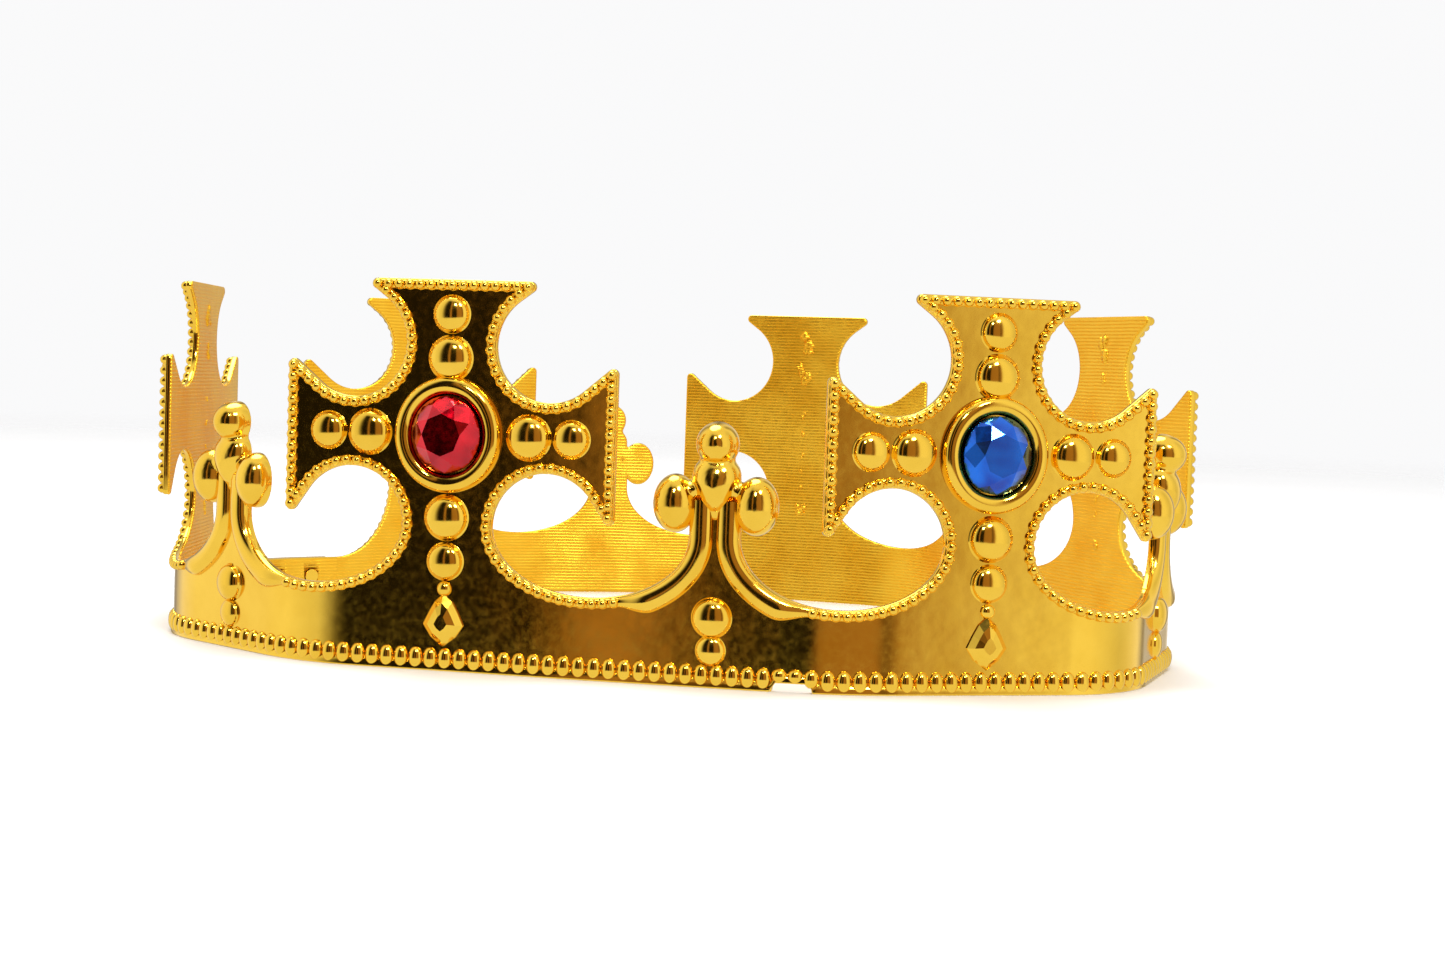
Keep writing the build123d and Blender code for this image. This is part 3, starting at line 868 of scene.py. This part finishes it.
def headband_piece(line, name, materials):
    skin = Skin(line.bent)
    path = with_notch_points(top_path())
    vectors = top_vectors(path)
    rows = []
    finishes = []

    def between(height, upward, finish):
        top = inset(path, vectors, SHEET_EDGE[0][0])
        for n in range(1, BAND_LEVELS):
            share = n / BAND_LEVELS if upward else 1 - n / BAND_LEVELS
            row = []
            for (u, z), (s, _) in zip(top, path):
                low = notch_height(s) + SHEET_EDGE[0][0]
                row.append((s + (u - s) * share, low + (z - low) * share, height))
            rows.append(row)
            finishes.append(finish)

    between(0.0, True, INNER)
    for distance, height in SHEET_EDGE:
        rows.append([(u, z, height) for u, z in inset(path, vectors, distance)])
        finishes.append(INNER if height < EDGE_FINISH else OUTER)
    between(WALL, False, OUTER)
    for distance, height in reversed(SHEET_EDGE):
        rows.append([(s, notch_height(s) + distance, height) for s, _ in path])
        finishes.append(INNER if height < EDGE_FINISH else OUTER)
    skin.bar(rows, finishes)
    loop_borders(skin)
    closure_borders(skin)
    bottom_rim(skin, path[0][0], path[-1][0])
    for number in range(len(CROSS_NAMES)):
        boss(skin, number * PITCH)
    for number in range(len(FLEUR_NAMES)):
        for radius, rise, height in (BAND_STUD, DROP_STUD):
            stud(skin, (number + 0.5) * PITCH, height, (radius, rise), flare=0.08)
    return skin.object(name, materials)


def with_notch_points(path, pieces=6):
    """More points on the upper edge over the notch, so that the notch's ends are drawn well."""
    result = [path[0]]
    for start, end in zip(path, path[1:]):
        away = min(abs(abs(s - NOTCH_MID) - NOTCH_HALF_WIDTH) for s, _ in (start, end))
        near = start[1] != end[1] and away < NOTCH_CARE
        count = pieces if near else 1
        result += [part_way(start, end, n / count) for n in range(1, count + 1)]
    return result


def smoothstep(value):
    value = min(max(value, 0.0), 1.0)
    return value * value * (3 - 2 * value)


def loop_borders(skin):
    """Border of each loop: beads on the cross's side, a smooth rib on the fleur's side."""
    for number, centre in enumerate(loop_centres()):
        fleur = (number // 2 + 0.5) * PITCH
        curve = loop_curve(centre)
        path = curve_path(curve)
        path.reverse()
        vectors = ridge_vectors(path, (curve, curve))
        sizes = []
        for u, _ in path:
            rib = smoothstep((RIB_END - abs(u - fleur)) / RIB_TAPER)
            bead_size = (*RIDGE, BEAD_INSET)
            rib_size = (*RIB, RIB[0])
            sizes.append([low + (high - low) * rib for low, high in zip(bead_size, rib_size)])
        skin.sweep(path, vectors, sizes)
        line = inset(path, vectors, BEAD_INSET)
        if math.dist(line[0], (fleur, 0)) < math.dist(line[-1], (fleur, 0)):
            line.reverse()
        beads(skin, line, lambda u: abs(u - fleur) > BEADS_FROM)


def closure_borders(skin):
    for centre, side in ((-CLOSURE_CURVE_U, -1), (CLOSURE_CURVE_AT, 1)):
        curve = closure_curve(centre)
        path = curve_path(curve, side)
        path.reverse()
        vectors = ridge_vectors(path, (curve, None) if side < 0 else (None, curve))
        skin.sweep(path, vectors, [(*RIDGE, BEAD_INSET)] * len(path))
        beads(skin, inset(path, vectors, BEAD_INSET))


def bottom_rim(skin, low, high):
    """Row of upright lobes along the bottom, over a plain foot moulding."""
    count = round((high - low) / RIM_PITCH)
    half_width, half_height, rise = RIM_LOBE
    for n in range(count):
        s = low + (n + 0.5) * (high - low) / count
        up = half_height - notch_height(s) * RIM_LOBE_SHRINK
        skin.dome(s, RIM_TOP - up, (half_width, up), rise, segments=16, rings=5, sink=0.2)
    steps = 2 * round((high - low) / (2 * RIM_STEP))
    stops = [low + (high - low) * n / steps for n in range(steps + 1)]
    skin.bar([[(s, z + notch_height(s), WALL + t) for s in stops] for z, t in RIM_FOOT])


def boss(skin, s):
    """Faceted pendant boss on the headband under a cross, with a bead over it."""
    left = [(-u, z) for u, z in reversed(BOSS_OUTLINE[1:-1])]
    rows = []
    for scale, rise in BOSS_STEPS:
        rows.append([
            (s + u * scale, BOSS_CENTRE + (z - BOSS_CENTRE) * scale, WALL + rise * BOSS_RISE)
            for u, z in list(BOSS_OUTLINE) + left
        ])
    skin.slab(rows, smooth=False)
    radius, rise, height = BOSS_BEAD
    skin.dome(s, height, (radius, radius), rise, segments=20, rings=6)


# ---- Closure ----
def wall_strip(skin, low, high, inner, soft=0.25, near=0.08):
    """A plain bent strip with rounded long edges, between two distances along the wall."""
    outer = inner + WALL
    top = STRAP_TOP
    section = (
        (soft, inner), (top - soft, inner), (top - near, inner + near), (top, inner + soft),
        (top, outer - soft), (top - near, outer - near), (top - soft, outer), (soft, outer),
        (near, outer - near), (0, outer - soft), (0, inner + soft), (near, inner + near),
    )
    count = max(2, round((high - low) / STRAP_STEP))
    stops = [low + (high - low) * n / count for n in range(count + 1)]
    rows = [[(s, z, t) for s in stops] for z, t in section]
    skin.bar(rows, [INNER] + [OUTER] * (len(rows) - 1))


def round_bar(skin, s, radius, low, high, segments=24):
    """A round peg or cutter through the closure, with softened ends."""
    soft = min(0.12, (high - low) / 4)
    end = 1 - soft / radius
    profile = ((end, low), (1.0, low + soft), (1.0, high - soft), (end, high))
    skin.slab([oval((s, STRAP_MID), (radius, radius), scale, t, segments) for scale, t in profile])


def closure_ends(line):
    """Distances along the wall: strap root, strap end, first peg, tab root."""
    tab_root = LAST_CROSS + line.lead - CLOSURE_CURVE_U
    strap_end = tab_root - STEP_LENGTH - STRAP_END_GAP
    return CLOSURE_CURVE_AT, strap_end, CLOSURE_CURVE_AT + FIRST_HOLE, tab_root


def strap_piece(line, name, materials, overrun=2.0):
    root, end, first, _ = closure_ends(line)
    skin = Skin(line.bent)
    wall_strip(skin, root, end, 0.0)
    strap = skin.object(name, materials)
    cutters = Skin(line.bent)
    for number in range(HOLE_COUNT):
        round_bar(cutters, first + number * HOLE_PITCH, HOLE_RADIUS, -overrun, WALL + overrun)
    cutter = cutters.object(name + "_holes", materials)
    cut = strap.modifiers.new("holes", "BOOLEAN")
    cut.operation = "DIFFERENCE"
    cut.solver = "EXACT"
    cut.object = cutter
    applied(strap)
    bpy.data.objects.remove(cutter)
    return strap


def tab_piece(line, name, materials):
    _, _, first, root = closure_ends(line)
    inner = WALL + LAP_GAP
    skin = Skin(line.bent)
    wall_strip(skin, first - TAB_OVERRUN, root - STEP_LENGTH / 2, inner)
    joggle(skin, root - STEP_LENGTH, root, inner)
    for number in range(PEG_COUNT):
        s = first + number * HOLE_PITCH
        round_bar(skin, s, PEG_RADIUS, PEG_ENDS[0], inner + PEG_ENDS[1])
        round_bar(skin, s, PEG_HEAD_RADIUS, *PEG_HEAD)
    return skin.object(name, materials)


def joggle(skin, low, high, inner, steps=8):
    """The short step that carries the tab outwards over the strap."""
    rows = []
    for z, rise in ((0.0, 0.0), (STRAP_TOP, 0.0), (STRAP_TOP, WALL), (0.0, WALL)):
        row = []
        for n in range(steps + 1):
            share = n / steps
            out = inner * (1 - smoothstep(share * JOGGLE_HASTE))
            row.append((low + (high - low) * share, z, out + rise))
        rows.append(row)
    skin.bar(rows, [INNER, OUTER, OUTER, OUTER])


# ---- Gems and adhesive ----
def gem_piece(line, number, name, materials, per_facet=4):
    """Oval brilliant: table, eight star and eight kite facets, rim facets and a girdle."""
    skin = Skin(line.flat(number * PITCH))
    low = WALL + GLUE_THICKNESS
    girdle = low + GEM_GIRDLE
    top = low + GEM_HEIGHT

    def ring(count, scale, height, turned=0):
        points = oval((0, CROSS_MID), GEM_RADII, scale, height, count, turned)
        return [skin.vertex(point) for point in points]

    count = GEM_FACETS * per_facet
    base = ring(count, GEM_BEVEL[0], low)
    wall_low = ring(count, 1.0, low + GEM_BEVEL[1])
    rim = ring(count, 1.0, girdle)
    middle = ring(GEM_FACETS, GEM_MIDDLE[0], girdle + (top - girdle) * GEM_MIDDLE[1], turned=0.5)
    table = ring(GEM_FACETS, GEM_TABLE, top)
    skin.face(list(reversed(base)), smooth=False)
    for m in range(count):
        k = (m + 1) % count
        skin.face((base[m], base[k], wall_low[k], wall_low[m]))
        skin.face((wall_low[m], wall_low[k], rim[k], rim[m]))
    for m, after in enumerate(middle):
        skin.face((table[m], middle[m - 1], rim[m * per_facet], after), smooth=False)
        skin.face((table[m], after, table[(m + 1) % GEM_FACETS]), smooth=False)
        for n in range(m * per_facet, (m + 1) * per_facet):
            skin.face((after, rim[n], rim[(n + 1) % count]), smooth=False)
    skin.face(table, smooth=False)
    return skin.object(name, materials)


def adhesive_piece(line, number, name, materials, segments=32):
    """A squeezed dab of glue under a gem, with a bulging edge."""
    skin = Skin(line.flat(number * PITCH))
    radii = [radius * GLUE_SCALE for radius in GEM_RADII]
    skin.slab([oval((0, CROSS_MID), radii, scale, WALL + t, segments) for scale, t in GLUE_EDGE])
    return skin.object(name, materials)


# ---- Materials ----
class Nodes:
    """Short ways to add and join shader nodes."""

    def __init__(self, tree):
        self.tree = tree

    def add(self, kind, values=None, **settings):
        node = self.tree.nodes.new(kind)
        for key, value in settings.items():
            setattr(node, key, value)
        self.fill(node, values or {})
        return node

    def fill(self, node, values):
        """Joins a node's inputs to other nodes' outputs, or gives them constants."""
        for key, value in values.items():
            if isinstance(value, bpy.types.NodeSocket):
                self.tree.links.new(value, node.inputs[key])
            else:
                node.inputs[key].default_value = value

    def maths(self, operation, first, second=0.0, third=0.0):
        values = {0: first, 1: second, 2: third}
        return self.add("ShaderNodeMath", values, operation=operation).outputs[0]

    def spread(self, value, source, target=(0.0, 1.0), curve="LINEAR"):
        """The value's source range stretched over the target range."""
        values = {
            "Value": value, "From Min": source[0], "From Max": source[1],
            "To Min": target[0], "To Max": target[1],
        }
        return self.add("ShaderNodeMapRange", values, interpolation_type=curve).outputs["Result"]

    def ramp(self, factor, stops):
        node = self.add("ShaderNodeValToRGB", {"Fac": factor})
        elements = node.color_ramp.elements
        while len(elements) < len(stops):
            elements.new(0.5)
        for element, (position, colour) in zip(elements, stops):
            element.position = position
            element.color = (*colour, 1)
        return node.outputs["Color"]


class Finish(Nodes):
    """A material under work, drawn in the object's own metres."""

    def __init__(self, name):
        self.material = bpy.data.materials.new(name)
        self.material.use_nodes = True
        super().__init__(self.material.node_tree)
        self.where = self.add("ShaderNodeTexCoord").outputs["Object"]

    def noise(self, scale, detail, roughness=0.5):
        values = {"Vector": self.where, "Scale": scale, "Detail": detail, "Roughness": roughness}
        return self.add("ShaderNodeTexNoise", values).outputs["Fac"]

    def bump(self, height, strength, distance, **under):
        values = {"Height": height, "Strength": strength, "Distance": distance, **under}
        return self.add("ShaderNodeBump", values).outputs["Normal"]

    def done(self, values):
        """The material, once its shader has these inputs."""
        self.fill(self.tree.nodes["Principled BSDF"], values)
        return self.material


def gold_outer():
    """Bright vacuum-metallised gold: near mirror, faintly uneven, a little duller in patches."""
    gold = Finish("gold_polished")
    cloud = gold.noise(scale=90.0, detail=4.0, roughness=0.6)
    grain = gold.noise(scale=900.0, detail=3.0)
    waves = gold.noise(scale=130.0, detail=2.0)
    bump = gold.bump(waves, strength=0.08, distance=0.0006)
    return gold.done({
        "Base Color": gold.ramp(cloud, GOLD_OUTER),
        "Metallic": 1.0,
        "Roughness": gold.spread(grain, (0.3, 0.75), (0.07, 0.16)),
        "Normal": gold.bump(grain, strength=0.06, distance=0.00005, Normal=bump),
    })


def gold_inner():
    """Inner face: the same gold over fine level tool lines, which spread light up and down."""
    gold = Finish("gold_tooled")
    cloud = gold.noise(scale=110.0, detail=3.0)
    wander = gold.noise(scale=120.0, detail=2.0)
    grain = gold.noise(scale=700.0, detail=2.0)
    height = gold.add("ShaderNodeSeparateXYZ", {"Vector": gold.where}).outputs["Z"]
    shifted = gold.maths("MULTIPLY_ADD", wander, LINE_WANDER, height)
    lines = gold.maths("SINE", gold.maths("MULTIPLY", shifted, 2 * math.pi / LINE_PITCH))
    patchy = gold.spread(cloud, (0.3, 0.6), (0.7, 1.0))
    bump = gold.bump(gold.maths("MULTIPLY", lines, patchy), strength=1.0, distance=LINE_DEPTH)
    return gold.done({
        "Base Color": gold.ramp(cloud, GOLD_INNER),
        "Metallic": 1.0,
        "Roughness": gold.spread(grain, (0.3, 0.7), (0.34, 0.42)),
        "Normal": gold.bump(grain, strength=0.05, distance=0.00003, Normal=bump),
    })


def gem_material(name, tints):
    """Foiled acrylic: facets tinted in depth under a clear glossy surface."""
    gem = Finish(name)
    depth = gem.noise(scale=220.0, detail=1.0)
    haze = gem.noise(scale=1200.0, detail=2.0)
    return gem.done({
        "Base Color": gem.ramp(depth, tints),
        "Metallic": 1.0,
        "Roughness": gem.spread(haze, (0.3, 0.7), (0.12, 0.22)),
        "Coat Weight": 0.8,
        "Coat Roughness": 0.03,
        "Coat IOR": 1.49,
    })


def adhesive_material():
    glue = Finish("clear_glue")
    cloud = glue.noise(scale=500.0, detail=3.0)
    return glue.done({
        "Base Color": glue.ramp(cloud, GLUE),
        "Roughness": glue.spread(cloud, (0.3, 0.7), (0.1, 0.3)),
        "IOR": 1.48,
        "Transmission Weight": 0.6,
    })


def floor_material():
    """Plain pale tabletop that melts into the backdrop far from the crown."""
    floor = Finish("pale_floor")
    cloud = floor.noise(scale=6.0, detail=3.0)
    far = floor.add("ShaderNodeVectorMath", {0: floor.where}, operation="LENGTH").outputs["Value"]
    return floor.done({
        "Base Color": floor.ramp(cloud, FLOOR),
        "Roughness": 0.6,
        "Alpha": floor.spread(far, (FLOOR_FADE_FROM, FLOOR_RADIUS), (1.0, 0.0), "SMOOTHSTEP"),
    })


# ---- Pieces ----
def settle(piece, node):
    """The piece rides on the crown and stands for its CAD node, which it hides."""
    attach(piece, "root")
    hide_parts(node)


def build_crown():
    line = whole_line()
    gold = [gold_outer(), gold_inner()]
    gems = {"red": gem_material("red_gem", RED_GEM), "blue": gem_material("blue_gem", BLUE_GEM)}
    glue = adhesive_material()
    settle(headband_piece(line, "gold_headband", gold), "headband")
    for number, name in enumerate(CROSS_NAMES):
        cross = cross_piece(line, number, "gold_cross_" + name, gold)
        settle(cross, "cross_" + name)
        tint = GEM_COLOURS[number]
        stone = gem_piece(line, number, "stone_" + name, [gems[tint]])
        settle(stone, "gem_" + name)
        dab = adhesive_piece(line, number, "glue_" + name, [glue])
        settle(dab, "adhesive_" + name)
    for number, name in enumerate(FLEUR_NAMES):
        fleur = fleur_piece(line, number, "gold_fleur_" + name, gold)
        settle(fleur, "fleur_" + name)
    settle(strap_piece(line, "gold_strap", gold), "closure_strap")
    settle(tab_piece(line, "gold_tab", gold), "closure_tab")


# ---- Surroundings ----
def build_floor():
    mesh = bmesh.new()
    bmesh.ops.create_circle(mesh, cap_ends=True, segments=96, radius=FLOOR_RADIUS)
    data = bpy.data.meshes.new("floor")
    mesh.to_mesh(data)
    mesh.free()
    data.materials.append(floor_material())
    floor = linked("floor", data)
    floor.visible_glossy = False


def build_world():
    """A white studio with a dark opening in front. The camera itself sees a plain pale backdrop."""
    world = bpy.data.worlds.new("studio")
    bpy.context.scene.world = world
    world.use_nodes = True
    world.node_tree.nodes.clear()
    nodes = Nodes(world.node_tree)

    def rise(value, limits):
        return nodes.spread(value, limits, curve="SMOOTHSTEP")

    def blend(share, first, second):
        values = {0: share, 6: first, 7: second}
        return nodes.add("ShaderNodeMix", values, data_type="RGBA").outputs[2]

    towards = nodes.add("ShaderNodeTexCoord").outputs["Generated"]
    part = nodes.add("ShaderNodeSeparateXYZ", {"Vector": towards}).outputs
    around = nodes.maths("ARCTAN2", part["X"], nodes.maths("MULTIPLY", part["Y"], -1.0))
    stops = []
    for degrees, light, tint in STUDIO_WALLS:
        stops.append((degrees / 360 + 0.5, (light, light * tint, light * tint * tint)))
    walls = nodes.ramp(nodes.maths("MULTIPLY_ADD", around, 1 / (2 * math.pi), 0.5), stops)
    upper = blend(rise(part["Z"], CEILING_FROM), walls, CEILING_LIGHT)
    down = nodes.maths("MULTIPLY", part["Z"], -1.0)
    in_front = nodes.maths("SUBTRACT", 1.0, rise(part["Y"], BEHIND))
    table = nodes.maths("MULTIPLY", rise(down, TABLE_FROM), in_front)
    table = nodes.maths("MAXIMUM", table, rise(down, TABLE_FROM_BEHIND))
    studio = blend(table, upper, TABLE_LIGHT)
    lit = nodes.add("ShaderNodeBackground", {"Color": studio, "Strength": 1.0}).outputs[0]
    seen = nodes.add("ShaderNodeBackground", {"Color": BACKDROP, "Strength": 1.0}).outputs[0]
    by_camera = nodes.add("ShaderNodeLightPath").outputs["Is Camera Ray"]
    both = nodes.add("ShaderNodeMixShader", {0: by_camera, 1: lit, 2: seen}).outputs[0]
    nodes.add("ShaderNodeOutputWorld", {"Surface": both})


def area_light(name, place, aim, size, power):
    data = bpy.data.lights.new(name, "AREA")
    data.shape = "DISK"
    data.size = size
    data.energy = power
    light = linked(name, data)
    light.location = place
    light.rotation_mode = "QUATERNION"
    light.rotation_quaternion = (Vector(aim) - Vector(place)).to_track_quat("-Z", "Y")


def build_camera():
    """The camera stands low in front of the crown, leaning slightly."""
    yaw, pitch, roll = (math.radians(angle) for angle in CAMERA_ANGLES)
    ahead = Vector((-math.sin(yaw), math.cos(yaw), 0))
    level_right = Vector((math.cos(yaw), math.sin(yaw), 0))
    level_up = ahead * math.sin(pitch) + Vector((0, 0, math.cos(pitch)))
    forward = ahead * math.cos(pitch) - Vector((0, 0, math.sin(pitch)))
    right = level_right * math.cos(roll) + level_up * math.sin(roll)
    up = level_up * math.cos(roll) - level_right * math.sin(roll)
    data = bpy.data.cameras.new("camera")
    data.lens = CAMERA_LENS
    data.sensor_width = 36.0
    data.clip_start = 0.01
    camera = linked("camera", data)
    turned = Matrix((right, up, -forward)).transposed().to_4x4()
    camera.matrix_world = Matrix.Translation(CAMERA_PLACE) @ turned
    bpy.context.scene.camera = camera


build_camera()
build_crown()
build_floor()
build_world()
for lamp in LAMPS:
    area_light(*lamp)
bpy.context.scene.view_settings.view_transform = "Standard"
